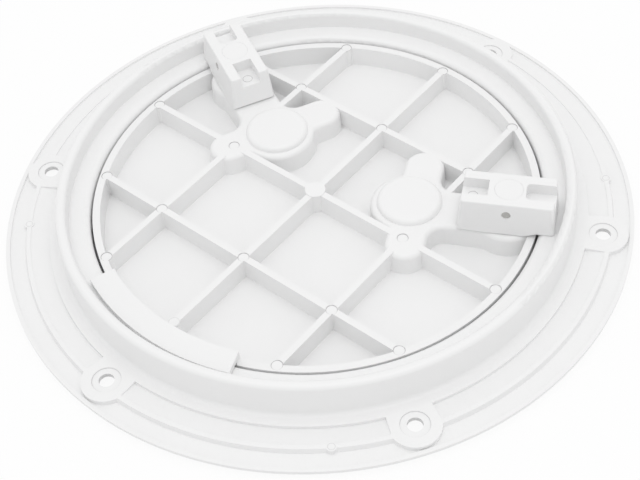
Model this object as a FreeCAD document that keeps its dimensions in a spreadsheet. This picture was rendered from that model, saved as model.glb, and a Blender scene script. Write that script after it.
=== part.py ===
import FreeCAD, Part
import math
import os
import Sketcher

# Round deck inspection hatch, lying on its top face with the underside up.
# Z points up, away from the top face, and the origin is the centre of that face.

document = FreeCAD.newDocument("inspection_hatch")
sizes = document.addObject("Spreadsheet::Sheet", "sizes")

DRIVING_SIZES = {
    # collar that enters the deck cut-out, which carries every other radius of the frame
    "collar_outer_radius": 113.6,
    "collar_wall": 4.7,
    "collar_rise": 8.05,
    "collar_draft": 0.5,
    "collar_root_round": 5.0,
    "collar_crest_round": 2.1,
    # flange
    "flange_width": 25.4,
    "flange_height": 5.3,
    "crown_width": 18.0,
    "crown_rise": 2.3,
    "lip_width": 1.8,
    "lip_rise": 0.8,
    "margin_width": 9.3,
    "margin_drop": 2.2,
    "step_slope": 0.7,
    "frame_turn": 43.4,
    # sealant recesses between the screw bosses
    "recess_clearance": 0.3,
    "recess_border": 1.9,
    "recess_inner_depth": 1.6,
    "recess_outer_depth": 0.35,
    "recess_end_angle": 4.6,
    "cut_overrun": 1.0,
    # screw holes
    "screw_count": 6,
    "screw_inset": 13.0,
    "screw_hole_radius": 3.25,
    "countersink_radius": 6.2,
    "boss_radius": 10.7,
    "spot_radius": 6.1,
    "spot_depth": 0.35,
    # ejector posts at the edge of the step
    "post_count": 4,
    "post_angle": 134.9,
    "post_radius": 2.2,
    "post_inset": 0.8,
    # ledge, and coaming round the lid
    "opening_lip": 0.7,
    "ledge_rise": 1.9,
    "ledge_reach": 8.3,
    "ledge_thickness": 2.4,
    "ledge_nose_round": 2.9,
    "coaming_wall": 3.0,
    # lid plate, rim and ribs
    "lid_turn": 46.4,
    "lid_gap": 0.7,
    "lid_plate": 2.5,
    "lid_edge_round": 0.8,
    "rim_gap": 1.0,
    "rim_wall": 3.3,
    "rib_height": 12.5,
    "rib_width": 3.0,
    "rib_pitch": 48.2,
    "rib_draft": 1.5,
    "centre_boss_radius": 4.5,
    "ejector_mark_radius": 2.5,
    "ejector_mark_depth": 0.3,
    # tab that hooks over the ledge
    "tab_wall": 3.4,
    "tab_reach": 7.6,
    "tab_thickness": 2.8,
    "tab_span": 43.8,
    "tab_shift": 0.8,
    "running_gap": 0.3,
    # raised housing of each latch
    "latch_angle": 65.0,
    "latch_inset": 14.65,
    "well_angle": 64.0,
    "lever_reach": 42.95,
    "bar_offset": 2.45,
    "bar_half_width": 8.65,
    "bar_reach": 23.35,
    "neck_half_width": 10.8,
    "well_radius": 17.0,
    "shaft_boss_radius": 13.2,
    "housing_draft": 4.0,
    "housing_round": 2.4,
    "neck_valley_round": 7.0,
    "well_valley_round": 3.0,
    "cap_border": 0.3,
    "cap_rise": 2.4,
    "cap_round": 2.3,
    # hand pocket on the top side of each latch housing
    "housing_wall": 2.2,
    # lever
    "lever_recess": 0.3,
    "lever_thickness": 3.6,
    "lever_half_width": 3.6,
    "lever_head_radius": 9.5,
    "lever_head_gap": 0.8,
    "lever_eye_half_width": 5.2,
    "lever_eye_length": 5.0,
    "lever_edge_round": 0.7,
    "fork_clearance": 0.15,
    "fork_depth": 2.3,
    "lug_half_width": 2.3,
    "lever_pin_radius": 0.9,
    "lever_pin_inset": 0.2,
    "pin_running_fit": 0.05,
    "pin_tight_fit": 0.02,
    # shaft, washer and seal
    "shaft_radius": 6.0,
    "shaft_fit": 0.05,
    "shaft_head_border": 2.5,
    "shaft_head_thickness": 1.3,
    "washer_thickness": 0.5,
    "washer_gap": 0.1,
    "seal_groove_half_width": 0.9,
    "seal_groove_depth": 1.4,
    "seal_section_radius": 0.7,
    # latch block
    "block_turn": 2.5,
    "block_end_gap": 4.2,
    "block_width": 18.4,
    "block_thickness": 16.4,
    "block_draft": 5.0,
    "block_hub_gap": 0.4,
    "block_hub_half_length": 8.0,
    "block_inner_rise": 0.5,
    "block_toe_lead": 1.65,
    "block_toe_gap": 0.3,
    "block_corner_round": 1.5,
    "block_edge_round": 0.8,
    "notch_width": 9.0,
    "outer_notch_length": 12.2,
    "inner_notch_length": 10.9,
    "notch_depth": 5.6,
    "notch_round": 2.0,
    "cross_pin_radius": 1.9,
    "cross_pin_depth": 5.7,
    "cross_pin_inset": 0.4,
    # lid gasket
    "gasket_thickness": 2.1,
    "gasket_inset": 0.3,
}

for row, (name, value) in enumerate(DRIVING_SIZES.items(), start=1):
    sizes.set(f"A{row}", name)
    sizes.set(f"B{row}", str(value))
    sizes.setAlias(f"B{row}", name)
document.recompute()


def value_of(expression):
    return float(sizes.evalExpression(expression))


def size(name):
    return value_of(f"sizes.{name}")


# Radii of the frame, carried outwards and inwards from the collar

flange_radius = "(sizes.collar_outer_radius + sizes.flange_width)"
crown_start = f"({flange_radius} - sizes.crown_width)"
step_radius = f"({flange_radius} - sizes.margin_width)"
screw_circle_radius = f"({flange_radius} - sizes.screw_inset)"
collar_foot_radius = "(sizes.collar_outer_radius + sizes.collar_draft)"
recess_inner_radius = f"({collar_foot_radius} + sizes.collar_root_round + sizes.recess_clearance)"
recess_outer_radius = f"({step_radius} - sizes.recess_border)"
collar_inner_radius = "(sizes.collar_outer_radius - sizes.collar_wall)"
opening_radius = f"({collar_inner_radius} - sizes.opening_lip)"
coaming_inner_radius = f"({opening_radius} - sizes.ledge_reach)"
coaming_outer_radius = f"({coaming_inner_radius} + sizes.coaming_wall)"

# Heights above the top face

margin_height = "(sizes.flange_height - sizes.margin_drop)"
lip_height = f"({margin_height} + sizes.lip_rise)"
ledge_height = "(sizes.rib_height + sizes.ledge_rise)"
collar_height = f"({ledge_height} + sizes.collar_rise)"
coaming_edge_height = "(sizes.lid_plate + sizes.gasket_thickness)"

# Lines of the latches and their housings, measured out from the centre

latch_radius = f"({coaming_inner_radius} - sizes.latch_inset)"
well_position = f"({latch_radius} - sizes.lever_reach)"
bar_position = f"({well_position} + sizes.bar_offset)"
cap_radius = "(sizes.well_radius - sizes.housing_round - sizes.cap_border)"


def new_body(label, turn=0.0, along=0.0, angle=0.0):
    """Body turned about Z and carried out from the centre in the given direction."""
    body = document.addObject("PartDesign::Body", label)
    body.Label = label
    direction = math.radians(angle)
    place = FreeCAD.Vector(along * math.cos(direction), along * math.sin(direction), 0)
    body.Placement = FreeCAD.Placement(place, FreeCAD.Rotation(FreeCAD.Vector(0, 0, 1), turn))
    return body


def origin_feature(body, role):
    return next(feature for feature in body.Origin.OriginFeatures if feature.Role == role)


def new_sketch(body, name, plane="XY_Plane", height=None, turn=0.0):
    """Sketch on an origin plane, lifted by an expression or turned about the Z axis."""
    sketch = body.newObject("Sketcher::SketchObject", name)
    sketch.AttachmentSupport = [(origin_feature(body, plane), "")]
    sketch.MapMode = "FlatFace"
    turning_axis = FreeCAD.Vector(0, 0, 1) if plane == "XY_Plane" else FreeCAD.Vector(0, 1, 0)
    sketch.AttachmentOffset = FreeCAD.Placement(FreeCAD.Vector(), FreeCAD.Rotation(turning_axis, turn))
    if height:
        sketch.setExpression("AttachmentOffset.Base.z", height)
    return sketch


def bind_point(sketch, geometry, point, across, up):
    """Fix a point of the sketch at two sheet expressions measured from its origin."""
    for kind, expression in (("DistanceX", across), ("DistanceY", up)):
        number = sketch.addConstraint(Sketcher.Constraint(kind, -1, 1, geometry, point, 1.0))
        sketch.setExpression(f"Constraints[{number}]", expression)


def add_outline(sketch, corners, arcs=()):
    """Closed outline, anticlockwise, through corners given as pairs of expressions.

    The edge that starts at a corner listed in arcs is an arc that turns left, tangent to the edge before it.
    """
    first = sketch.GeometryCount
    count = len(corners)
    rough = [
        FreeCAD.Vector(100 * math.cos(2 * math.pi * i / count), 100 * math.sin(2 * math.pi * i / count), 0)
        for i in range(count)
    ]
    for i in range(count):
        start = rough[i]
        end = rough[(i + 1) % count]
        if i in arcs:
            middle = (start + end) * 0.6
            sketch.addGeometry(Part.ArcOfCircle(start, middle, end), False)
        else:
            sketch.addGeometry(Part.LineSegment(start, end), False)
    for i in range(count):
        following = (i + 1) % count
        if following in arcs:
            sketch.addConstraint(Sketcher.Constraint("Tangent", first + i, 2, first + following, 1))
        else:
            sketch.addConstraint(Sketcher.Constraint("Coincident", first + i, 2, first + following, 1))
    for i, (across, up) in enumerate(corners):
        bind_point(sketch, first + i, 1, across, up)
    return first


def add_box(sketch, left, right, low, high):
    return add_outline(sketch, [(left, low), (right, low), (right, high), (left, high)])


def add_circle(sketch, across, up, radius):
    number = sketch.addGeometry(Part.Circle(FreeCAD.Vector(10, 10, 0), FreeCAD.Vector(0, 0, 1), 5), False)
    bind_point(sketch, number, 3, across, up)
    constraint = sketch.addConstraint(Sketcher.Constraint("Radius", number, 5.0))
    sketch.setExpression(f"Constraints[{constraint}]", radius)
    return number


def revolve(body, name, sketch, angle="360", cut=False):
    """Full turn, or an arc centred on the sketch's own plane."""
    feature = body.newObject("PartDesign::Groove" if cut else "PartDesign::Revolution", name)
    feature.Profile = sketch
    feature.ReferenceAxis = (sketch, ["V_Axis"])
    feature.setExpression("Angle", angle)
    feature.Midplane = angle != "360"
    return feature


def pad(body, name, sketch, length, downwards=False, taper=None, middle=False):
    feature = body.newObject("PartDesign::Pad", name)
    feature.Profile = sketch
    feature.setExpression("Length", length)
    feature.Reversed = downwards
    feature.Midplane = middle
    if taper:
        feature.setExpression("TaperAngle", taper)
    return feature


def pocket(body, name, sketch, length, upwards=True, taper=None, middle=False):
    feature = body.newObject("PartDesign::Pocket", name)
    feature.Profile = sketch
    feature.setExpression("Length", length)
    feature.Reversed = upwards
    feature.Midplane = middle
    if taper:
        feature.setExpression("TaperAngle", taper)
    return feature


def ring_of(body, name, originals, count):
    pattern = body.newObject("PartDesign::PolarPattern", name)
    pattern.Originals = originals
    pattern.Axis = (origin_feature(body, "Z_Axis"), [""])
    pattern.Angle = 360
    pattern.setExpression("Occurrences", count)
    body.Tip = pattern
    return pattern


def mirror_across(body, name, originals):
    """Second copy on the other side of the plane through the body's X and Z axes."""
    mirrored = body.newObject("PartDesign::Mirrored", name)
    mirrored.Originals = originals
    mirrored.MirrorPlane = (origin_feature(body, "XZ_Plane"), [""])
    body.Tip = mirrored
    return mirrored


def round_edges(body, name, radius, chosen):
    """Round the edges of the body's present shape that the given test picks."""
    document.recompute()
    base = body.Tip
    names = [f"Edge{i}" for i, edge in enumerate(base.Shape.Edges, start=1) if chosen(edge)]
    feature = body.newObject("PartDesign::Fillet", name)
    feature.Base = (base, names)
    feature.setExpression("Radius", radius)
    return feature


def is_ring(edge, radius, height):
    """Full circle about the Z axis with this radius, at this height."""
    curve = edge.Curve
    if not isinstance(curve, Part.Circle):
        return False
    centre = curve.Center
    centred = math.hypot(centre.x, centre.y) < 0.01
    same_radius = abs(curve.Radius - value_of(radius)) < 0.01
    return centred and same_radius and abs(centre.z - value_of(height)) < 0.01


# Mounting frame: one moulding with a crowned flange, a collar, a ledge and a coaming

frame = new_body("mounting_frame", turn=size("frame_turn"))
frame_section = new_sketch(frame, "frame_section", "XZ_Plane")
gutter_floor = f"{ledge_height} - sizes.ledge_thickness"
lip_inner = f"{flange_radius} - sizes.lip_width"
add_outline(
    frame_section,
    [
        (opening_radius, "0"),
        (crown_start, "0"),
        (flange_radius, "sizes.crown_rise"),
        (flange_radius, lip_height),
        (lip_inner, lip_height),
        (lip_inner, margin_height),
        (f"{step_radius} + sizes.step_slope", margin_height),
        (step_radius, "sizes.flange_height"),
        (collar_foot_radius, "sizes.flange_height"),
        ("sizes.collar_outer_radius", collar_height),
        (collar_inner_radius, collar_height),
        (collar_inner_radius, ledge_height),
        (coaming_inner_radius, ledge_height),
        (coaming_inner_radius, coaming_edge_height),
        (coaming_outer_radius, coaming_edge_height),
        (coaming_outer_radius, gutter_floor),
        (opening_radius, gutter_floor),
    ],
    arcs=(1,),
)
revolve(frame, "frame_ring", frame_section)

boss_sketch = new_sketch(frame, "boss_outline", height="sizes.flange_height")
add_circle(boss_sketch, screw_circle_radius, "0", "sizes.boss_radius")
boss = pad(frame, "boss", boss_sketch, "sizes.flange_height - sizes.crown_rise", downwards=True)
ring_of(frame, "bosses", [boss], "sizes.screw_count")

half_pitch = 180 / size("screw_count")
recess_sketch = new_sketch(frame, "recess_section", "XZ_Plane", turn=half_pitch)
add_outline(
    recess_sketch,
    [
        (recess_inner_radius, "sizes.flange_height - sizes.recess_inner_depth"),
        (recess_outer_radius, "sizes.flange_height - sizes.recess_outer_depth"),
        (recess_outer_radius, "sizes.flange_height + sizes.cut_overrun"),
        (recess_inner_radius, "sizes.flange_height + sizes.cut_overrun"),
    ],
)
recess_angle = "360 / sizes.screw_count - 2 * sizes.recess_end_angle"
recess = revolve(frame, "sealant_recess", recess_sketch, angle=recess_angle, cut=True)
ring_of(frame, "sealant_recesses", [recess], "sizes.screw_count")

post_sketch = new_sketch(frame, "ejector_post_outline", height="sizes.flange_height", turn=size("post_angle"))
add_circle(post_sketch, f"{step_radius} - sizes.post_inset", "0", "sizes.post_radius")
post = pad(frame, "ejector_post", post_sketch, "sizes.margin_drop + sizes.cut_overrun", downwards=True)
ring_of(frame, "ejector_posts", [post], "sizes.post_count")

hole_sketch = new_sketch(frame, "hole_outline")
add_circle(hole_sketch, screw_circle_radius, "0", "sizes.screw_hole_radius")
hole = pocket(frame, "screw_hole", hole_sketch, "sizes.flange_height + sizes.cut_overrun")
sink_sketch = new_sketch(frame, "countersink_outline")
add_circle(sink_sketch, screw_circle_radius, "0", "sizes.countersink_radius")
sink_depth = "sizes.countersink_radius - sizes.screw_hole_radius"
sink = pocket(frame, "countersink", sink_sketch, sink_depth, taper="-45")
spot_sketch = new_sketch(frame, "spot_outline", height="sizes.flange_height")
add_circle(spot_sketch, screw_circle_radius, "0", "sizes.spot_radius")
spot = pocket(frame, "spot_face", spot_sketch, "sizes.spot_depth", upwards=False)
ring_of(frame, "screw_holes", [hole, sink, spot], "sizes.screw_count")

round_edges(
    frame,
    "collar_root",
    "sizes.collar_root_round",
    lambda edge: is_ring(edge, collar_foot_radius, "sizes.flange_height"),
)
round_edges(
    frame,
    "collar_crest",
    "sizes.collar_crest_round",
    lambda edge: is_ring(edge, "sizes.collar_outer_radius", collar_height)
    or is_ring(edge, collar_inner_radius, collar_height),
)
round_edges(
    frame,
    "ledge_nose",
    "sizes.ledge_nose_round",
    lambda edge: is_ring(edge, coaming_inner_radius, ledge_height),
)

# Lid: plate, two latch housings, rim, ribs and hook tab in one moulding

lid = new_body("hatch_lid", turn=size("lid_turn"))
lid_radius = f"{opening_radius} - sizes.lid_gap"
rim_outer = f"{coaming_inner_radius} - sizes.rim_gap"
rim_inner = f"{rim_outer} - sizes.rim_wall"
plate_section = new_sketch(lid, "plate_section", "XZ_Plane")
add_box(plate_section, "0", lid_radius, "0", "sizes.lid_plate")
revolve(lid, "plate", plate_section)
round_edges(
    lid,
    "plate_edge",
    "sizes.lid_edge_round",
    lambda edge: is_ring(edge, lid_radius, "0"),
)


def add_bar_outline(sketch, inset):
    """Long round-ended outline across the latch line, drawn in by the inset."""
    inner = f"{bar_position} - sizes.bar_half_width + {inset}"
    outer = f"{bar_position} + sizes.bar_half_width - {inset}"
    add_outline(
        sketch,
        [
            (outer, "-sizes.bar_reach"),
            (outer, "sizes.bar_reach"),
            (inner, "sizes.bar_reach"),
            (inner, "-sizes.bar_reach"),
        ],
        arcs=(1, 3),
    )


latch_turn = size("latch_angle")
well_turn = size("well_angle")
above_plate = "sizes.rib_height - sizes.lid_plate"


def housing_sketch(name, height="sizes.rib_height", turn=latch_turn):
    return new_sketch(lid, name, height=height, turn=turn)


def housing_pad(name, sketch):
    """Drafted pad from the top of a housing down to the plate."""
    return pad(lid, name, sketch, above_plate, downwards=True, taper="sizes.housing_draft")


def is_valley(edge):
    """Upright edge where two walls of a housing meet at a corner."""
    ends = sorted(vertex.Z for vertex in edge.Vertexes)
    if len(ends) < 2 or abs(ends[0] - size("lid_plate")) > 0.01 or abs(ends[1] - size("rib_height")) > 0.01:
        return False
    middle = edge.valueAt((edge.FirstParameter + edge.LastParameter) / 2)
    walls = lid.Tip.Shape.ancestorsOfType(edge, Part.Face)
    facings = [wall.normalAt(*wall.Surface.parameter(middle)) for wall in walls]
    return len(facings) == 2 and facings[0].dot(facings[1]) < 0.97


def is_top_edge(edge):
    return all(abs(vertex.Z - size("rib_height")) < 0.01 for vertex in edge.Vertexes)


bar_sketch = housing_sketch("bar_outline", turn=well_turn)
add_bar_outline(bar_sketch, "0")
bar = housing_pad("housing_bar", bar_sketch)
neck_sketch = housing_sketch("neck_outline")
add_box(neck_sketch, well_position, latch_radius, "-sizes.neck_half_width", "sizes.neck_half_width")
neck = housing_pad("housing_neck", neck_sketch)
shaft_boss_sketch = housing_sketch("shaft_boss_outline")
add_circle(shaft_boss_sketch, latch_radius, "0", "sizes.shaft_boss_radius")
shaft_boss = housing_pad("housing_shaft_boss", shaft_boss_sketch)
mirror_across(lid, "housings", [bar, neck, shaft_boss])
round_edges(lid, "neck_valleys", "sizes.neck_valley_round", is_valley)

well_sketch = housing_sketch("well_outline", turn=well_turn)
add_circle(well_sketch, well_position, "0", "sizes.well_radius")
well = housing_pad("housing_well", well_sketch)
mirror_across(lid, "housing_wells", [well])
round_edges(lid, "well_valleys", "sizes.well_valley_round", is_valley)
round_edges(lid, "housing_top", "sizes.housing_round", is_top_edge)

cap_sketch = housing_sketch("cap_outline", turn=well_turn)
add_circle(cap_sketch, well_position, "0", cap_radius)
cap = pad(lid, "housing_cap", cap_sketch, "sizes.cap_rise")
mirror_across(lid, "housing_caps", [cap])
cap_top = size("rib_height") + size("cap_rise")
round_edges(
    lid,
    "cap_edge",
    "sizes.cap_round",
    lambda edge: all(abs(vertex.Z - cap_top) < 0.01 for vertex in edge.Vertexes),
)

rim_section = new_sketch(lid, "rim_section", "XZ_Plane")
rim_foot_inner = f"{rim_inner} - ({above_plate}) * tan(sizes.rib_draft)"
add_outline(
    rim_section,
    [
        (rim_foot_inner, "sizes.lid_plate"),
        (rim_outer, "sizes.lid_plate"),
        (rim_outer, "sizes.rib_height"),
        (rim_inner, "sizes.rib_height"),
    ],
)
revolve(lid, "rim", rim_section)

rim_middle = f"({rim_outer} - sizes.rim_wall / 2)"
along_sketch = new_sketch(lid, "ribs_along_outline", height="sizes.rib_height")
across_sketch = new_sketch(lid, "ribs_across_outline", height="sizes.rib_height")
for row in (-1, 0, 1):
    reach = f"sqrt({rim_middle}^2 - ({row} * sizes.rib_pitch)^2)"
    near = f"{row} * sizes.rib_pitch - sizes.rib_width / 2"
    far = f"{row} * sizes.rib_pitch + sizes.rib_width / 2"
    add_box(along_sketch, f"-{reach}", reach, near, far)
    add_box(across_sketch, near, far, f"-{reach}", reach)
pad(lid, "ribs_along", along_sketch, above_plate, downwards=True, taper="sizes.rib_draft")
pad(lid, "ribs_across", across_sketch, above_plate, downwards=True, taper="sizes.rib_draft")
centre_sketch = new_sketch(lid, "centre_boss_outline", height="sizes.rib_height")
add_circle(centre_sketch, "0", "0", "sizes.centre_boss_radius")
pad(lid, "centre_boss", centre_sketch, above_plate, downwards=True)

tab_section = new_sketch(lid, "tab_section", "XZ_Plane", turn=180 - size("tab_shift"))
tab_inner = f"{rim_outer} - sizes.tab_wall"
tab_outer = f"{rim_outer} + sizes.tab_reach"
tab_underside = f"{ledge_height} + sizes.running_gap"
tab_top = f"{tab_underside} + sizes.tab_thickness"
tab_foot = "sizes.rib_height - sizes.cut_overrun"
add_outline(
    tab_section,
    [
        (tab_inner, tab_foot),
        (rim_outer, tab_foot),
        (rim_outer, tab_underside),
        (tab_outer, tab_underside),
        (tab_outer, tab_top),
        (tab_inner, tab_top),
    ],
)
revolve(lid, "hook_tab", tab_section, angle="sizes.tab_span")

# Ejector posts, set in a little, where ribs cross each other and where they meet the rim

rim_line = f"({rim_middle} - sizes.rib_width / 2)"
post_places = [
    (f"{across} * sizes.rib_pitch", f"{up} * sizes.rib_pitch")
    for across in (-1, 0, 1)
    for up in (-1, 0, 1)
    if across or up
]
for row in (-1, 0, 1):
    reach = f"sqrt({rim_line}^2 - ({row} * sizes.rib_pitch)^2)"
    offset = f"{row} * sizes.rib_pitch"
    post_places += [(offset, reach), (offset, f"-{reach}"), (reach, offset)]
    if row:
        post_places.append((f"-{reach}", offset))
post_height = "sizes.rib_height - sizes.ejector_mark_depth"
crossing_posts = new_sketch(lid, "crossing_post_outline", height=post_height)
post_marks = new_sketch(lid, "post_mark_outline", height="sizes.rib_height")
for across, up in post_places:
    add_circle(crossing_posts, across, up, "sizes.ejector_mark_radius")
    add_circle(post_marks, across, up, "sizes.ejector_mark_radius")
pad(lid, "crossing_posts", crossing_posts, f"{above_plate} - sizes.ejector_mark_depth", downwards=True)
pocket(lid, "post_marks", post_marks, "sizes.ejector_mark_depth", upwards=False)


def hand_pocket(name, depth, draw, turn=latch_turn):
    """Recess cut up from the top face, drawn in the frame of the latch."""
    sketch = housing_sketch(f"{name}_outline", height=None, turn=turn)
    draw(sketch)
    return pocket(lid, name, sketch, depth)


housing_depth = "sizes.rib_height - sizes.housing_wall"
washer_seat = "(sizes.washer_thickness + sizes.washer_gap)"
lever_room = "(sizes.lever_recess + sizes.lever_thickness + sizes.lever_head_gap)"
lever_pocket_depth = f"({lever_room} + sizes.shaft_head_thickness + {washer_seat})"
slot_half_width = "(sizes.neck_half_width - sizes.housing_wall)"
finger_wells = hand_pocket(
    "finger_wells",
    housing_depth,
    lambda sketch: add_bar_outline(sketch, "sizes.housing_wall"),
    turn=well_turn,
)
head_recess = hand_pocket(
    "head_recess",
    housing_depth,
    lambda sketch: add_circle(sketch, well_position, "0", "sizes.well_radius - sizes.housing_wall"),
    turn=well_turn,
)
cap_recess = hand_pocket(
    "cap_recess",
    f"{housing_depth} + sizes.cap_rise",
    lambda sketch: add_circle(sketch, well_position, "0", f"{cap_radius} - sizes.housing_wall"),
    turn=well_turn,
)
lever_slot = hand_pocket(
    "lever_slot",
    lever_pocket_depth,
    lambda sketch: add_box(sketch, well_position, latch_radius, f"-{slot_half_width}", slot_half_width),
)
eye_recess = hand_pocket(
    "eye_recess",
    lever_pocket_depth,
    lambda sketch: add_circle(sketch, latch_radius, "0", "sizes.shaft_boss_radius - sizes.housing_wall"),
)
shaft_bore = hand_pocket(
    "shaft_bore",
    "sizes.rib_height + sizes.cut_overrun",
    lambda sketch: add_circle(sketch, latch_radius, "0", "sizes.shaft_radius + sizes.shaft_fit"),
)
mirror_across(
    lid,
    "hand_pockets",
    [finger_wells, head_recess, cap_recess, lever_slot, eye_recess, shaft_bore],
)

# Gasket between the coaming edge and the lid plate

gasket = new_body("lid_gasket")
gasket_section = new_sketch(gasket, "gasket_section", "XZ_Plane")
add_box(
    gasket_section,
    f"{coaming_inner_radius} + sizes.gasket_inset",
    f"{coaming_outer_radius} - sizes.gasket_inset",
    "sizes.lid_plate",
    coaming_edge_height,
)
revolve(gasket, "gasket_ring", gasket_section)

# Latches: each has a block on a pinned shaft, and a lift-and-turn lever in the top face

hinge_height = "sizes.lever_recess + sizes.lever_thickness / 2"
eye_radius = "sizes.lever_thickness / 2"
head_underside = f"{lever_pocket_depth} - {washer_seat}"
head_face = f"{head_underside} - sizes.shaft_head_thickness"
head_radius = "(sizes.shaft_radius + sizes.shaft_head_border)"
seal_height = f"({lever_pocket_depth} + sizes.rib_height) / 2"
block_hub_height = "(sizes.rib_height + sizes.block_hub_gap)"
block_top = f"({block_hub_height} + sizes.block_thickness)"
block_half_length = f"({collar_inner_radius} - {latch_radius} - sizes.block_end_gap)"
toe_start = f"({coaming_inner_radius} - {latch_radius} - sizes.block_toe_lead)"
toe_height = f"{ledge_height} + sizes.block_toe_gap"
cross_pin_height = f"{block_top} - sizes.cross_pin_depth"
cross_pin_length = (
    "sizes.block_width + 2 * (sizes.cross_pin_depth * tan(sizes.block_draft) - sizes.cross_pin_inset)"
)


def round_bar(body, name, height, radius, length):
    """Round pad across the body, centred on its Z axis."""
    sketch = new_sketch(body, f"{name}_outline", "XZ_Plane")
    add_circle(sketch, "0", height, radius)
    return pad(body, name, sketch, length, middle=True)


def cross_hole(body, name, height, radius, length, turn=0.0):
    sketch = new_sketch(body, f"{name}_outline", "XZ_Plane", turn=turn)
    add_circle(sketch, "0", height, radius)
    return pocket(body, name, sketch, length, middle=True)


def make_shaft(label, angle, block_turn):
    """Headed shaft whose cross hole follows the turn of the block."""
    body = new_body(label, turn=angle, along=value_of(latch_radius), angle=angle)
    section = new_sketch(body, "shaft_section", "XZ_Plane")
    groove_floor = "sizes.shaft_radius - sizes.seal_groove_depth"
    groove_low = f"{seal_height} - sizes.seal_groove_half_width"
    groove_high = f"{seal_height} + sizes.seal_groove_half_width"
    add_outline(
        section,
        [
            ("0", head_face),
            (head_radius, head_face),
            (head_radius, head_underside),
            ("sizes.shaft_radius", head_underside),
            ("sizes.shaft_radius", groove_low),
            (groove_floor, groove_low),
            (groove_floor, groove_high),
            ("sizes.shaft_radius", groove_high),
            ("sizes.shaft_radius", block_top),
            ("0", block_top),
        ],
    )
    revolve(body, "stem", section)
    lug_section = new_sketch(body, "lug_section", "XZ_Plane")
    add_outline(
        lug_section,
        [
            (eye_radius, head_underside),
            (f"-{eye_radius}", head_underside),
            (f"-{eye_radius}", hinge_height),
            (eye_radius, hinge_height),
        ],
        arcs=(2,),
    )
    pad(body, "lug", lug_section, "2 * sizes.lug_half_width", middle=True)
    cross_hole(
        body,
        "lever_pin_hole",
        hinge_height,
        "sizes.lever_pin_radius + sizes.pin_tight_fit",
        "3 * sizes.lug_half_width",
    )
    cross_hole(
        body,
        "cross_pin_hole",
        cross_pin_height,
        "sizes.cross_pin_radius + sizes.pin_tight_fit",
        "3 * sizes.shaft_radius",
        turn=block_turn - angle,
    )
    return body


def make_block(label, angle, turn):
    """Drafted block, stepped underneath to pass over the ledge, with a notch in each end."""
    body = new_body(label, turn=turn, along=value_of(latch_radius), angle=angle)
    outline = new_sketch(body, "block_outline", height=block_top)
    half_width = "sizes.block_width / 2"
    add_box(outline, f"-{block_half_length}", block_half_length, f"-{half_width}", half_width)
    pad(body, "block", outline, "sizes.block_thickness", downwards=True, taper="sizes.block_draft")
    top = value_of(block_top)

    def is_corner(edge):
        return abs(edge.tangentAt(edge.FirstParameter).z) > 0.5

    def is_top(edge):
        return all(abs(vertex.Z - top) < 0.01 for vertex in edge.Vertexes)

    round_edges(body, "block_corners", "sizes.block_corner_round", is_corner)
    round_edges(body, "block_edges", "sizes.block_edge_round", is_top)
    far = f"(1.2 * {block_half_length})"
    below = f"{block_hub_height} - sizes.cut_overrun"
    toe_section = new_sketch(body, "toe_section", "XZ_Plane")
    add_outline(
        toe_section,
        [
            ("sizes.block_hub_half_length", below),
            (far, below),
            (far, toe_height),
            (toe_start, toe_height),
            ("sizes.block_hub_half_length", block_hub_height),
        ],
    )
    pocket(body, "toe_step", toe_section, "2 * sizes.block_width", middle=True)
    heel_section = new_sketch(body, "heel_section", "XZ_Plane")
    add_outline(
        heel_section,
        [
            (f"-{far}", below),
            ("-sizes.block_hub_half_length", below),
            ("-sizes.block_hub_half_length", block_hub_height),
            (f"-{far}", f"{block_hub_height} + sizes.block_inner_rise"),
        ],
    )
    pocket(body, "heel_step", heel_section, "2 * sizes.block_width", middle=True)
    for name, side, length in (
        ("outer_notch", "", "sizes.outer_notch_length"),
        ("inner_notch", "-", "sizes.inner_notch_length"),
    ):
        notch = new_sketch(body, f"{name}_outline", height=block_top)
        mouth = f"{side}{far}"
        foot = f"{side}({block_half_length} - {length})"
        add_box(notch, foot, mouth, "-sizes.notch_width / 2", "sizes.notch_width / 2")
        pocket(body, name, notch, "sizes.notch_depth", upwards=False)
    notch_end = value_of(f"{block_half_length} - sizes.outer_notch_length")

    def is_notch_corner(edge):
        in_place = all(
            abs(vertex.X - notch_end) < 0.01 and abs(abs(vertex.Y) - size("notch_width") / 2) < 0.01
            for vertex in edge.Vertexes
        )
        return in_place and abs(edge.tangentAt(edge.FirstParameter).z) > 0.9

    round_edges(body, "notch_corners", "sizes.notch_round", is_notch_corner)
    bore = new_sketch(body, "bore_outline")
    add_circle(bore, "0", "0", "sizes.shaft_radius + sizes.shaft_fit")
    pocket(body, "bore", bore, f"{block_top} + sizes.cut_overrun")
    cross_hole(
        body,
        "cross_pin_hole",
        cross_pin_height,
        "sizes.cross_pin_radius + sizes.pin_tight_fit",
        "2 * sizes.block_width",
    )
    return body


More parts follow.
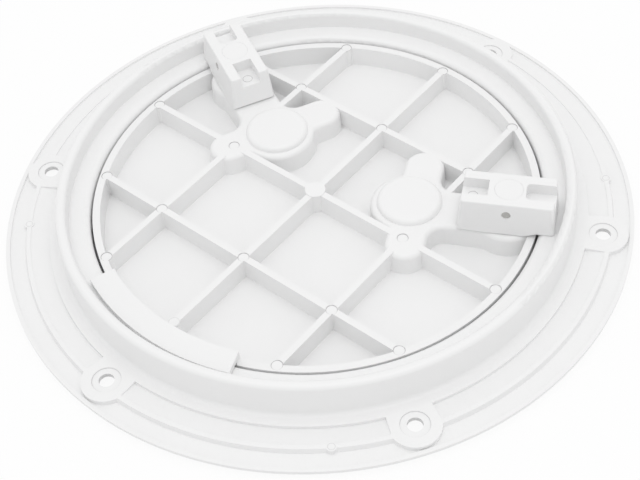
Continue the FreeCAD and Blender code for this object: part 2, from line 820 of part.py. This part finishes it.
def make_lever(label, angle):
    body = new_body(label, turn=angle, along=value_of(latch_radius), angle=angle)
    head_position = "-sizes.lever_reach"
    arm = new_sketch(body, "arm_outline", height="sizes.lever_recess")
    add_box(arm, head_position, "0", "-sizes.lever_half_width", "sizes.lever_half_width")
    pad(body, "arm", arm, "sizes.lever_thickness")
    head = new_sketch(body, "head_outline", height="sizes.lever_recess")
    add_circle(head, head_position, "0", "sizes.lever_head_radius")
    pad(body, "head", head, "sizes.lever_thickness")
    eye = new_sketch(body, "eye_outline", height="sizes.lever_recess")
    add_box(eye, "-sizes.lever_eye_length", "0", "-sizes.lever_eye_half_width", "sizes.lever_eye_half_width")
    pad(body, "eye", eye, "sizes.lever_thickness")
    lower_face = size("lever_recess") + size("lever_thickness")
    round_edges(
        body,
        "lever_edges",
        "sizes.lever_edge_round",
        lambda edge: all(vertex.X < -0.01 and abs(vertex.Z - lower_face) < 0.01 for vertex in edge.Vertexes)
        and abs(edge.CenterOfMass.x + size("lever_eye_length")) > 0.01,
    )
    round_bar(body, "eye_barrel", hinge_height, eye_radius, "2 * sizes.lever_eye_half_width")
    fork = new_sketch(body, "fork_outline")
    add_box(
        fork,
        "-sizes.fork_depth",
        "sizes.lever_thickness",
        "-(sizes.lug_half_width + sizes.fork_clearance)",
        "sizes.lug_half_width + sizes.fork_clearance",
    )
    pocket(body, "fork", fork, lever_room)
    cross_hole(
        body,
        "pin_hole",
        hinge_height,
        "sizes.lever_pin_radius + sizes.pin_running_fit",
        "3 * sizes.lever_eye_half_width",
    )
    return body


def make_pin(label, angle, turn, height, radius, length):
    body = new_body(label, turn=turn, along=value_of(latch_radius), angle=angle)
    round_bar(body, "pin", height, radius, length)
    return body


def make_washer(label, angle):
    body = new_body(label, turn=angle, along=value_of(latch_radius), angle=angle)
    ring = new_sketch(body, "washer_outline", height=lever_pocket_depth)
    add_circle(ring, "0", "0", head_radius)
    add_circle(ring, "0", "0", "sizes.shaft_radius + sizes.running_gap")
    pad(body, "washer", ring, "sizes.washer_thickness", downwards=True)
    return body


def make_seal(label, angle):
    body = new_body(label, turn=angle, along=value_of(latch_radius), angle=angle)
    section = new_sketch(body, "seal_section", "XZ_Plane")
    seat = "sizes.shaft_radius - sizes.seal_groove_depth + sizes.seal_section_radius"
    add_circle(section, seat, seal_height, "sizes.seal_section_radius")
    revolve(body, "seal_ring", section)
    return body


parts = [frame, lid, gasket]
for side, sign in (("left", 1), ("right", -1)):
    latch_angle = size("lid_turn") + sign * size("latch_angle")
    block_turn = latch_angle - sign * size("block_turn")
    parts += [
        make_shaft(f"{side}_latch_shaft", latch_angle, block_turn),
        make_block(f"{side}_latch_block", latch_angle, block_turn),
        make_pin(
            f"{side}_block_pin",
            latch_angle,
            block_turn,
            cross_pin_height,
            "sizes.cross_pin_radius",
            cross_pin_length,
        ),
        make_lever(f"{side}_lever", latch_angle),
        make_pin(
            f"{side}_lever_pin",
            latch_angle,
            latch_angle,
            hinge_height,
            "sizes.lever_pin_radius",
            "2 * (sizes.lever_eye_half_width - sizes.lever_pin_inset)",
        ),
        make_washer(f"{side}_thrust_washer", latch_angle),
        make_seal(f"{side}_shaft_seal", latch_angle),
    ]

document.recompute()
for item in document.Objects:
    for state in ("Invalid", "Error"):
        if state in item.State:
            raise RuntimeError(f"{item.Name} is not computed")
os.makedirs("parts", exist_ok=True)
for body in parts:
    if body.Shape.isNull() or not body.Shape.isValid():
        raise RuntimeError(f"{body.Label} has no valid shape")
for body in parts:
    body.Shape.exportStep(f"parts/{body.Label}.step")
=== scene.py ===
import math

import bmesh
import bpy
from mathutils import Matrix, Vector


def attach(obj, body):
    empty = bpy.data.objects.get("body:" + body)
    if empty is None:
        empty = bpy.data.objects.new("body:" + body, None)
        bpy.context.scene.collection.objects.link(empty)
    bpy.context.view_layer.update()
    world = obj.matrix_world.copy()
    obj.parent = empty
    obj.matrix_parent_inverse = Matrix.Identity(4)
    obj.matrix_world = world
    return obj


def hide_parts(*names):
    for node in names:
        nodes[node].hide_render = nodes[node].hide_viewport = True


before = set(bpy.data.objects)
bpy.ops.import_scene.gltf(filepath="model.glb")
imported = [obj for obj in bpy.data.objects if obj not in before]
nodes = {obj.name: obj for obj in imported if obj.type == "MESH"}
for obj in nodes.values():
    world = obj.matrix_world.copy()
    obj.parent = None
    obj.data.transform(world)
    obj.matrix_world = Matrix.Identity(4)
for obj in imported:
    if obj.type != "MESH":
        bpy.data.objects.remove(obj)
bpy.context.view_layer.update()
MM = 0.001


# Shader nodes and colours

def linear(hex_colour):
    """sRGB hex value as a linear colour."""
    channels = [int(hex_colour[i:i + 2], 16) / 255 for i in (1, 3, 5)]
    straight = [c / 12.92 if c <= 0.04045 else ((c + 0.055) / 1.055) ** 2.4 for c in channels]
    return (*straight, 1.0)


def add_node(tree, kind, settings=None, inputs=None):
    """Node with its settings, and its inputs set to a value or linked from an output socket."""
    node = tree.nodes.new(kind)
    for name, value in (settings or {}).items():
        setattr(node, name, value)
    for name, value in (inputs or {}).items():
        if isinstance(value, bpy.types.NodeSocket):
            tree.links.new(value, node.inputs[name])
        else:
            node.inputs[name].default_value = value
    return node


def new_material(name):
    material = bpy.data.materials.new(name)
    material.use_nodes = True
    material.node_tree.nodes.clear()
    return material, material.node_tree


def object_coords(tree):
    return add_node(tree, "ShaderNodeTexCoord").outputs["Object"]


def noise(tree, coords, size, detail, roughness):
    """Noise with features of about the given size in millimetres."""
    texture = add_node(tree, "ShaderNodeTexNoise", None,
                       {"Vector": coords, "Scale": 1 / (size * MM), "Detail": detail,
                        "Roughness": roughness})
    return texture.outputs["Fac"]


def uneven_sheen(tree, spread, low, high):
    """Roughness that runs between two values with the middle range of a noise."""
    sheen = add_node(tree, "ShaderNodeMapRange", None,
                     {"Value": spread, "From Min": 0.3, "From Max": 0.7, "To Min": low, "To Max": high})
    return sheen.outputs["Result"]


def uneven_tone(tree, spread, low, high):
    """Colour that runs between two hex values with a noise."""
    tone = add_node(tree, "ShaderNodeMix", {"data_type": "RGBA"},
                    {"Factor": spread, "A": linear(low), "B": linear(high)})
    return tone.outputs["Result"]


def fine_relief(tree, height, strength, depth):
    """Normal bumped by a noise, with its depth in millimetres."""
    relief = add_node(tree, "ShaderNodeBump", None,
                      {"Strength": strength, "Distance": depth * MM, "Height": height})
    return relief.outputs["Normal"]


def finish_material(tree, surface):
    """Principled surface with the given inputs, put out as the material."""
    shader = add_node(tree, "ShaderNodeBsdfPrincipled", None, surface)
    add_node(tree, "ShaderNodeOutputMaterial", None, {"Surface": shader.outputs["BSDF"]})


# Finishes

def moulded_abs(name, low, high):
    """Injection-moulded ABS: an even satin sheen over a fine spark-eroded grain."""
    material, tree = new_material(name)
    coords = object_coords(tree)
    # the real grain is about 0.05 mm and too fine to show, so it is drawn at 0.7 mm
    grain = noise(tree, coords, size=0.7, detail=3.0, roughness=0.6)
    # flow and shrinkage leave the sheen slightly uneven over about 25 mm
    flow = noise(tree, coords, size=25, detail=2.0, roughness=0.5)
    finish_material(tree, {"Base Color": uneven_tone(tree, flow, low, high),
                           "Roughness": uneven_sheen(tree, flow, 0.36, 0.46), "IOR": 1.53,
                           "Normal": fine_relief(tree, grain, strength=0.10, depth=0.02)})
    return material


def drawn_stainless():
    """Drawn stainless pin stock: bright, with a soft and slightly uneven reflection."""
    material, tree = new_material("drawn_stainless")
    draw_marks = noise(tree, object_coords(tree), size=0.4, detail=4.0, roughness=0.7)
    finish_material(tree, {"Base Color": linear("#C4C3C0"), "Metallic": 1.0,
                           "Roughness": uneven_sheen(tree, draw_marks, 0.22, 0.38)})
    return material


def moulded_rubber():
    """Moulded nitrile rubber: black, nearly matt, with a faint bloom."""
    material, tree = new_material("moulded_rubber")
    bloom = noise(tree, object_coords(tree), size=3, detail=4.0, roughness=0.6)
    finish_material(tree, {"Base Color": uneven_tone(tree, bloom, "#161718", "#26272A"),
                           "Roughness": 0.72, "IOR": 1.52,
                           "Normal": fine_relief(tree, bloom, strength=0.2, depth=0.05)})
    return material


def turned_acetal():
    """Acetal washer stock: milky off-white with a waxy sheen."""
    material, tree = new_material("turned_acetal")
    cloud = noise(tree, object_coords(tree), size=2, detail=3.0, roughness=0.5)
    finish_material(tree, {"Base Color": uneven_tone(tree, cloud, "#DEDCD4", "#E8E6DF"),
                           "Roughness": 0.35, "IOR": 1.48,
                           "Normal": fine_relief(tree, cloud, strength=0.1, depth=0.02)})
    return material


white_abs = moulded_abs("moulded_white_abs", "#F0F0F0", "#F2F2F2")
# the fine step that an ejector pin leaves round its face is painted darker: painted shade for the shade
# the step holds, and a little dust
witness_shade_and_dust_abs = moulded_abs("ejector_witness_shade_and_dust_abs", "#B0B0B0", "#BEBEBE")
# the cutter that faces the screw holes, and the pins under the flange, leave a shallower step, so these
# rings are painted a lighter grey: painted shade for a shallower step
facing_shade_abs = moulded_abs("spot_facing_shade_abs", "#DCDCDC", "#E2E2E2")
stainless = drawn_stainless()
rubber = moulded_rubber()
acetal = turned_acetal()


# Pieces

# faces that meet at less than this angle are shaded as one surface
CREASE = math.cos(math.radians(40))
# corners that lie closer together than this are one corner
WELD = 0.002 * MM


def add_object(name, data):
    thing = bpy.data.objects.new(name, data)
    bpy.context.scene.collection.objects.link(thing)
    return thing


def corner_normals(shaping):
    """Normal at each corner, drawn from the faces at its vertex that lie within the crease angle.

    A large face counts for more, so flat faces stay flat and the rounds between them are shaded round.
    """
    shaping.verts.index_update()
    fans = []
    for vertex in shaping.verts:
        fans.append([(corner.face.normal.copy(), corner.face.calc_area() * corner.calc_angle())
                     for corner in vertex.link_loops])
    normals = []
    for face in shaping.faces:
        for corner in face.loops:
            total = Vector()
            for normal, weight in fans[corner.vert.index]:
                if normal.dot(face.normal) > CREASE:
                    total += normal * weight
            normals.append(total.normalized() if total.length > 0 else face.normal.copy())
    return normals


def fill_mesh(mesh, shaping, material):
    """Put the shaped form into a mesh, with its material and its corner normals."""
    normals = corner_normals(shaping)
    shaping.to_mesh(mesh)
    shaping.free()
    mesh.materials.clear()
    mesh.materials.append(material)
    mesh.polygons.foreach_set("use_smooth", [True] * len(mesh.polygons))
    mesh.normals_split_custom_set(normals)


def tighten_collar_root(shaping):
    """Draw the round at the foot of the collar in, so that the wall stays upright down to its foot."""
    loose_radius, tight_radius = 5.0 * MM, 2.0 * MM
    # the centre of the round's section, before and after
    loose_reach, loose_height = 118.96 * MM, 10.3 * MM
    tight_reach, tight_height = 115.986 * MM, 7.3 * MM
    scale = tight_radius / loose_radius
    facet_error, end_error = 0.05 * MM, 0.01 * MM
    for vertex in shaping.verts:
        reach = math.hypot(vertex.co.x, vertex.co.y)
        across, up = reach - loose_reach, vertex.co.z - loose_height
        on_round = abs(math.hypot(across, up) - loose_radius) < facet_error
        if on_round and across < end_error and up < 0:
            draw_in = (tight_reach + across * scale) / reach
            vertex.co = (vertex.co.x * draw_in, vertex.co.y * draw_in, tight_height + up * scale)


def soften(name, material, body, reshape=None):
    """Copy of a CAD node with its facets joined and shaded as one surface, which stands for the node."""
    mesh = nodes[name].data.copy()
    mesh.name = name + "_surface"
    shaping = bmesh.new()
    shaping.from_mesh(mesh)
    bmesh.ops.remove_doubles(shaping, verts=shaping.verts, dist=WELD)
    if reshape:
        reshape(shaping)
        shaping.normal_update()
    fill_mesh(mesh, shaping, material)
    piece = add_object(name + "_piece", mesh)
    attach(piece, body)
    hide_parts(name)


soften("mounting_frame", white_abs, "frame_and_lid", tighten_collar_root)
soften("hatch_lid", white_abs, "frame_and_lid")
soften("lid_gasket", rubber, "frame_and_lid")
for side in ("left", "right"):
    soften(f"{side}_thrust_washer", acetal, "frame_and_lid")
    soften(f"{side}_latch_shaft", white_abs, f"{side}_latch")
    soften(f"{side}_latch_block", white_abs, f"{side}_latch")
    soften(f"{side}_block_pin", stainless, f"{side}_latch")
    soften(f"{side}_lever_pin", stainless, f"{side}_latch")
    soften(f"{side}_shaft_seal", rubber, f"{side}_latch")
    soften(f"{side}_lever", white_abs, f"{side}_lever")


# Places on the plate, in millimetres and degrees

LID_TURN = 46.4
FRAME_TURN = 43.4
RIB_PITCH = 48.2
RIB_TOP = 12.5
FLANGE_TOP = 5.3
SCREW_REACH = 126
LATCH_REACH = 85.25
LATCH_SPREAD = 65
BLOCK_TURN = 2.5
TAB_POST_REACH = 91.3
FLANGE_POST_REACH, FLANGE_POST_TURN = 128.9, 178.3


def around(radius, degrees, height):
    """Point at a radius and an angle about the centre of the plate, given in millimetres."""
    turn = math.radians(degrees)
    return (radius * math.cos(turn) * MM, radius * math.sin(turn) * MM, height * MM)


# Centre boss and tab post

def turned_post(name, profile, centre, segments):
    """Closed post turned from half a profile in millimetres about an upright line through a point."""
    shaping = bmesh.new()
    line = [shaping.verts.new((radius * MM, 0, height * MM)) for radius, height in profile]
    edges = [shaping.edges.new(pair) for pair in zip(line, line[1:])]
    bmesh.ops.spin(shaping, geom=line + edges, axis=(0, 0, 1), cent=(0, 0, 0), steps=segments,
                   angle=math.tau)
    bmesh.ops.remove_doubles(shaping, verts=shaping.verts, dist=WELD)
    bmesh.ops.recalc_face_normals(shaping, faces=shaping.faces)
    bmesh.ops.translate(shaping, verts=shaping.verts, vec=(centre[0], centre[1], 0))
    mesh = bpy.data.meshes.new(name)
    fill_mesh(mesh, shaping, white_abs)
    piece = add_object(name, mesh)
    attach(piece, "frame_and_lid")


# the face of the centre boss stands a little proud of the ribs and hides where they meet
boss_profile = [(0, 12.4), (4.6, 12.4), (4.6, 12.82), (4.48, 12.94), (0, 12.95)]
turned_post("centre_boss_face", boss_profile, (0, 0), 48)
# the middle rib ends in an ejector post at the inner edge of the hook tab
tab_post = around(TAB_POST_REACH, LID_TURN + 180, RIB_TOP)
post_profile = [(0, 2), (2.5, 2), (2.5, 12.44), (2.42, 12.52), (0, 12.53)]
turned_post("tab_rib_post", post_profile, tab_post, 32)


# Ejector pin marks, in millimetres

RIB_MARK, SMALL_MARK, FLANGE_MARK, SPOT_FACE = 2.38, 2.2, 1.5, 6.0
LINE_WIDTH = 0.22
# how far a mark's own floor lies below the top of the ribs or of the flange
SUNK = 0.3


def witness_line_tree():
    """Geometry Nodes tree that lays a thin ring round every point of a mesh."""
    tree = bpy.data.node_groups.new("ejector_witness_lines", "GeometryNodeTree")
    tree.is_modifier = True
    for name, way, kind in (("Mark Centres", "INPUT", "NodeSocketGeometry"),
                            ("Mark Radius", "INPUT", "NodeSocketFloat"),
                            ("Line Width", "INPUT", "NodeSocketFloat"),
                            ("Line Finish", "INPUT", "NodeSocketMaterial"),
                            ("Witness Lines", "OUTPUT", "NodeSocketGeometry")):
        tree.interface.new_socket(name, in_out=way, socket_type=kind)
    given = add_node(tree, "NodeGroupInput")
    ring = add_node(tree, "GeometryNodeCurvePrimitiveCircle", None,
                    {"Resolution": 28, "Radius": given.outputs["Mark Radius"]})
    half_width = add_node(tree, "ShaderNodeMath", {"operation": "MULTIPLY"},
                          {0: given.outputs["Line Width"], 1: 0.5})
    section = add_node(tree, "GeometryNodeCurvePrimitiveCircle", None,
                       {"Resolution": 6, "Radius": half_width.outputs["Value"]})
    line = add_node(tree, "GeometryNodeCurveToMesh", None,
                    {"Curve": ring.outputs["Curve"], "Profile Curve": section.outputs["Curve"]})
    lines = add_node(tree, "GeometryNodeInstanceOnPoints", None,
                     {"Points": given.outputs["Mark Centres"], "Instance": line.outputs["Mesh"]})
    solid = add_node(tree, "GeometryNodeRealizeInstances", None,
                     {"Geometry": lines.outputs["Instances"]})
    finished = add_node(tree, "GeometryNodeSetMaterial", None,
                        {"Geometry": solid.outputs["Geometry"],
                         "Material": given.outputs["Line Finish"]})
    add_node(tree, "NodeGroupOutput", None, {"Witness Lines": finished.outputs["Geometry"]})
    return tree


def mark_with_lines(name, centres, radius, finish, body):
    """Witness lines of the given radius in millimetres round the given centres, as one plain mesh."""
    points = bpy.data.meshes.new(name + "_centres")
    points.from_pydata(centres, [], [])
    piece = add_object(name, points)
    layer = piece.modifiers.new("witness_lines", "NODES")
    layer.node_group = witness_lines
    sizes = {"Mark Radius": radius * MM, "Line Width": LINE_WIDTH * MM, "Line Finish": finish}
    for socket in witness_lines.interface.items_tree:
        if socket.name in sizes:
            layer[socket.identifier] = sizes[socket.name]
    finished = piece.evaluated_get(bpy.context.evaluated_depsgraph_get())
    mesh = bpy.data.meshes.new_from_object(finished)
    piece.modifiers.remove(layer)
    piece.data = mesh
    mesh.polygons.foreach_set("use_smooth", [True] * len(mesh.polygons))
    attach(piece, body)


def lid_marks():
    """Centres of the marks at the rib crossings and where the ribs meet the rim."""
    rim_reach = 95.75
    steps = (-1, 0, 1)
    places = [(across * RIB_PITCH, up * RIB_PITCH) for across in steps for up in steps if across or up]
    for row in steps:
        offset = row * RIB_PITCH
        reach = math.sqrt(rim_reach ** 2 - offset ** 2)
        places += [(offset, reach), (offset, -reach), (reach, offset)]
        # on the tab's side the middle rib ends in the tab post instead
        if row:
            places.append((-reach, offset))
    return [around(math.hypot(x, y), LID_TURN + math.degrees(math.atan2(y, x)), RIB_TOP - SUNK)
            for x, y in places]


def notch_mark(latch_turn, block_turn):
    """Centre of the mark on the floor of a block's inner notch."""
    from_shaft, notch_floor = 15.1, 23.7
    shaft = Vector(around(LATCH_REACH, latch_turn, 0))
    return tuple(shaft + Vector(around(from_shaft, latch_turn + block_turn + 180, notch_floor)))


witness_lines = witness_line_tree()
# the witness rings are painted darker than the plate: painted shade for their fine steps, with a little
# dust
mark_with_lines("lid_ejector_marks", lid_marks(), RIB_MARK, witness_shade_and_dust_abs, "frame_and_lid")
# the tab post, flange and screw hole rings carry lighter painted shade for their shallower steps
mark_with_lines("tab_post_mark", [tab_post], SMALL_MARK, facing_shade_abs, "frame_and_lid")
left_notch = notch_mark(LID_TURN + LATCH_SPREAD, -BLOCK_TURN)
mark_with_lines("left_notch_mark", [left_notch], SMALL_MARK, witness_shade_and_dust_abs, "left_latch")
right_notch = notch_mark(LID_TURN - LATCH_SPREAD, BLOCK_TURN)
mark_with_lines("right_notch_mark", [right_notch], SMALL_MARK, witness_shade_and_dust_abs, "right_latch")
flange_posts = [around(FLANGE_POST_REACH, FLANGE_POST_TURN + 90 * quarter, FLANGE_TOP)
                for quarter in range(4)]
mark_with_lines("flange_ejector_marks", flange_posts, FLANGE_MARK, facing_shade_abs, "frame_and_lid")
spot_faces = [around(SCREW_REACH, FRAME_TURN + 60 * screw, FLANGE_TOP - SUNK) for screw in range(6)]
mark_with_lines("screw_hole_facings", spot_faces, SPOT_FACE, facing_shade_abs, "frame_and_lid")


# Floor, light and camera

# share of its own light in what the camera sees of the table, which keeps it white
TABLE_GLOW = 0.92
# strength of the white surroundings on the object, which are 1 where the camera sees them
SURROUNDINGS = 0.83
LAMP_PLACE, LAMP_POWER, LAMP_WIDTH = (0.06, -0.15, 1.49), 5.0, 1.3


def seen_rays(tree):
    """1 for rays by which the camera sees, straight or by reflection, and 0 for rays of light."""
    path = add_node(tree, "ShaderNodeLightPath")
    seen = add_node(tree, "ShaderNodeMath", {"operation": "MAXIMUM"},
                    {0: path.outputs["Is Camera Ray"], 1: path.outputs["Is Glossy Ray"]})
    shown = add_node(tree, "ShaderNodeMath", {"operation": "MAXIMUM"},
                     {0: seen.outputs["Value"], 1: path.outputs["Is Transmission Ray"]})
    return shown.outputs["Value"]


def add_floor():
    """Table top. The camera sees it white with a faint shadow, and the object is lit by a plain one."""
    reach, height = 6.0, -0.0004
    corners = [(across * reach, along * reach, height)
               for across, along in ((-1, -1), (1, -1), (1, 1), (-1, 1))]
    mesh = bpy.data.meshes.new("table_top")
    mesh.from_pydata(corners, [], [(0, 1, 2, 3)])
    floor = add_object("table_top", mesh)
    material, tree = new_material("pale_table")
    share = add_node(tree, "ShaderNodeMath", {"operation": "MULTIPLY"},
                     {0: seen_rays(tree), 1: TABLE_GLOW})
    matt = add_node(tree, "ShaderNodeBsdfDiffuse", None, {"Color": linear("#F2F2F2")})
    glow = add_node(tree, "ShaderNodeEmission", None, {"Color": (1, 1, 1, 1), "Strength": 1.0})
    both = add_node(tree, "ShaderNodeMixShader", None,
                    {0: share.outputs["Value"], 1: matt.outputs["BSDF"], 2: glow.outputs["Emission"]})
    add_node(tree, "ShaderNodeOutputMaterial", None, {"Surface": both.outputs["Shader"]})
    mesh.materials.append(material)


def light_studio():
    """White surroundings that light from all round, and one soft lamp nearly overhead."""
    world = bpy.data.worlds.new("studio")
    bpy.context.scene.world = world
    world.use_nodes = True
    tree = world.node_tree
    tree.nodes.clear()
    strength = add_node(tree, "ShaderNodeMapRange", None,
                        {"Value": seen_rays(tree), "From Min": 0.0, "From Max": 1.0,
                         "To Min": SURROUNDINGS, "To Max": 1.0})
    backdrop = add_node(tree, "ShaderNodeBackground", None,
                        {"Color": (1, 1, 1, 1), "Strength": strength.outputs["Result"]})
    add_node(tree, "ShaderNodeOutputWorld", None, {"Surface": backdrop.outputs["Background"]})
    lamp = bpy.data.lights.new("overhead_softbox", "AREA")
    lamp.shape = "SQUARE"
    lamp.size = LAMP_WIDTH
    lamp.energy = LAMP_POWER
    holder = add_object("overhead_softbox", lamp)
    holder.location = LAMP_PLACE
    holder.rotation_euler = (-Vector(LAMP_PLACE)).to_track_quat("-Z", "Y").to_euler()


def place_camera():
    """Camera at the photograph's view, 48.5 degrees above the table and rolled by 5.8 degrees."""
    place = (-0.00016, -0.41212, 0.44432)
    # the fitted focal length is in pixels, like the width of the picture
    sensor_width, picture_width, focal_length = 36.0, 640, 1350.4
    lens = bpy.data.cameras.new("photo_view")
    lens.sensor_width = sensor_width
    lens.lens = sensor_width * focal_length / picture_width
    lens.clip_start = 0.02
    lens.clip_end = 20.0
    right = Vector((0.994876, -0.075694, -0.067031))
    up = Vector((0.101108, 0.744809, 0.659573))
    back = right.cross(up)
    turn = Matrix((right, up, back)).transposed().to_4x4()
    camera = add_object("photo_view", lens)
    camera.matrix_world = Matrix.Translation(place) @ turn
    bpy.context.scene.camera = camera


add_floor()
light_studio()
place_camera()
bpy.context.scene.view_settings.view_transform = "Standard"
